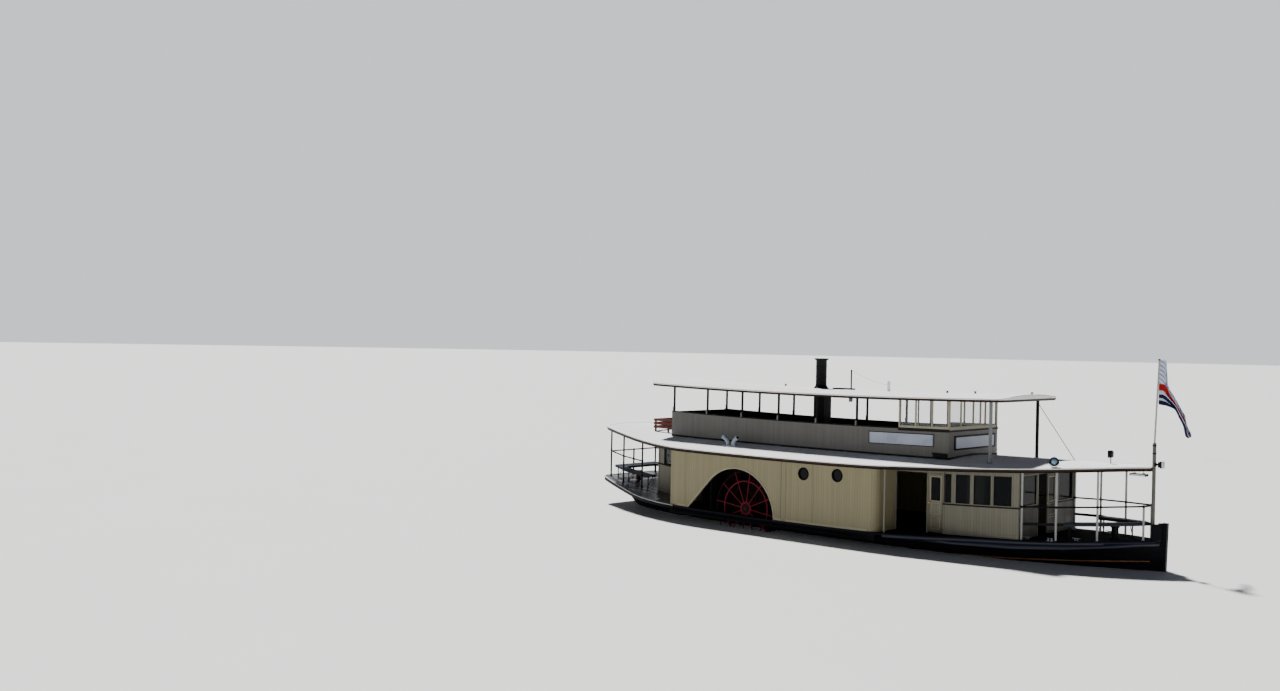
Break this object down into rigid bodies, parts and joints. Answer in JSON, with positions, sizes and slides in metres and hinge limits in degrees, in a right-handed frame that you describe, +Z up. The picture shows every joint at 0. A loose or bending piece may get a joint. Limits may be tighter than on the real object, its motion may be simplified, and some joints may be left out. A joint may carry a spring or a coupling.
{
  "type": "side-wheel paddle steamer",
  "caption": "River paddle steamer with side wheels in paddle boxes, a long upper deck cabin with wheelhouse, roofed fore and aft decks, and a funnel.",
  "frame": {"origin": "on the waterline, on the centreline, near amidships", "axes": "+X forward to the bow, +Y to port, +Z up"},
  "size_m": [22.8649, 6.545, 7.171],
  "materials": {
    "hull_paint": "satin black paint on planks",
    "navy_paint": "satin dark navy paint",
    "deck_planks": "weathered plank deck",
    "cream_paint": "satin cream paint on vertical boards",
    "roof_canvas": "matt pale grey painted canvas over boards",
    "dark_trim": "gloss black paint",
    "wheel_red": "dark red gloss paint",
    "iron": "oiled iron",
    "post_paint": "satin grey cream paint",
    "bench_paint": "satin blue grey paint",
    "red_timber": "oiled red timber",
    "varnish": "gloss varnish",
    "flag_cloth": "woven bunting",
    "lamp_metal": "satin",
    "board_white": "gloss white paint",
    "gold_line": "gloss gold paint",
    "glass": "clear",
    "brass": "polished",
    "rope": "laid fibre",
    "rubber": "matt"
  },
  "bodies": {
    "root": {"hull": "hull_paint", "main_deck": "deck_planks", "rubbing_strake_stbd": "navy_paint", "rubbing_strake_port": "navy_paint", "bow_bulwark": "hull_paint", "paddle_box_side_stbd": "cream_paint", "paddle_box_side_port": "cream_paint", "paddle_box_lining_stbd": "hull_paint", "paddle_box_lining_port": "hull_paint", "cabin_side_stbd": "cream_paint", "cabin_side_port": "cream_paint", "cabin_front": "cream_paint", "aft_house_side_stbd": "cream_paint", "aft_house_side_port": "cream_paint", "aft_house_end": "cream_paint", "boiler": "iron", "engine_block": "iron", "lower_roof": "roof_canvas", "parapet_front": "cream_paint", "parapet_aft": "cream_paint", "parapet_stbd": "cream_paint", "parapet_port": "cream_paint", "upper_frame_stbd": "post_paint", "upper_frame_port": "post_paint", "wheelhouse_front": "post_paint", "wheelhouse_aft": "cream_paint", "upper_roof": "roof_canvas", "fore_post_stbd": "post_paint", "fore_post_port": "post_paint", "funnel": "dark_trim", "funnel_casing": "dark_trim", "roof_mast": "dark_trim", "helm_pedestal": "varnish", "fore_rail": "dark_trim", "aft_rail": "dark_trim", "fore_bench": "bench_paint", "aft_bench": "bench_paint", "bollard_fore": "dark_trim", "bollard_aft": "red_timber", "entrance_post_stbd": "post_paint", "entrance_post_port": "post_paint", "roof_vent": "roof_canvas", "flagstaff": "post_paint", "flag": "flag_cloth", "searchlight": "lamp_metal", "floodlight": "lamp_metal", "cowl_pipes": "roof_canvas", "timber_rack": "red_timber"},
    "paddle_wheels": {"paddle_shaft": "iron", "paddle_wheel_stbd": "wheel_red", "paddle_wheel_port": "wheel_red"},
    "rudder": {"rudder": "hull_paint"},
    "helm": {"helm_wheel": "varnish"},
    "side_door_stbd": {"side_door_stbd": "cream_paint"},
    "side_door_port": {"side_door_port": "cream_paint"},
    "front_door_stbd": {"front_door_stbd": "cream_paint"},
    "front_door_port": {"front_door_port": "cream_paint"},
    "aft_door": {"aft_door": "cream_paint"}
  },
  "joints": [
    {"name": "paddle_spin", "type": "hinge", "parent": "root", "child": "paddle_wheels", "pos_m": [-1.93, 0, 0.73], "axis": [0, 1, 0], "continuous": true},
    {"name": "rudder_turn", "type": "hinge", "parent": "root", "child": "rudder", "pos_m": [-9.65, 0, 0], "axis": [0, 0, 1], "range_deg": [-40, 40]},
    {"name": "helm_turn", "type": "hinge", "parent": "root", "child": "helm", "pos_m": [4.56, 0, 3.62], "axis": [1, 0, 0], "range_deg": [-360, 360]},
    {"name": "side_door_stbd_swing", "type": "hinge", "parent": "root", "child": "side_door_stbd", "pos_m": [5.492, -1.95, 1.5], "axis": [0, 0, 1], "range_deg": [0, 95]},
    {"name": "side_door_port_swing", "type": "hinge", "parent": "root", "child": "side_door_port", "pos_m": [5.492, 1.95, 1.5], "axis": [0, 0, -1], "range_deg": [0, 95]},
    {"name": "front_door_stbd_swing", "type": "hinge", "parent": "root", "child": "front_door_stbd", "pos_m": [8.105, -0.632, 1.6], "axis": [0, 0, 1], "range_deg": [-90, 0]},
    {"name": "front_door_port_swing", "type": "hinge", "parent": "root", "child": "front_door_port", "pos_m": [8.105, 0.632, 1.6], "axis": [0, 0, -1], "range_deg": [0, 90]},
    {"name": "aft_door_swing", "type": "hinge", "parent": "root", "child": "aft_door", "pos_m": [-7.615, 0.322, 1.5], "axis": [0, 0, 1], "range_deg": [0, 90]}
  ],
  "couplings": [
    {"joint": "helm_turn", "follows": "rudder_turn", "ratio": 9}
  ]
}
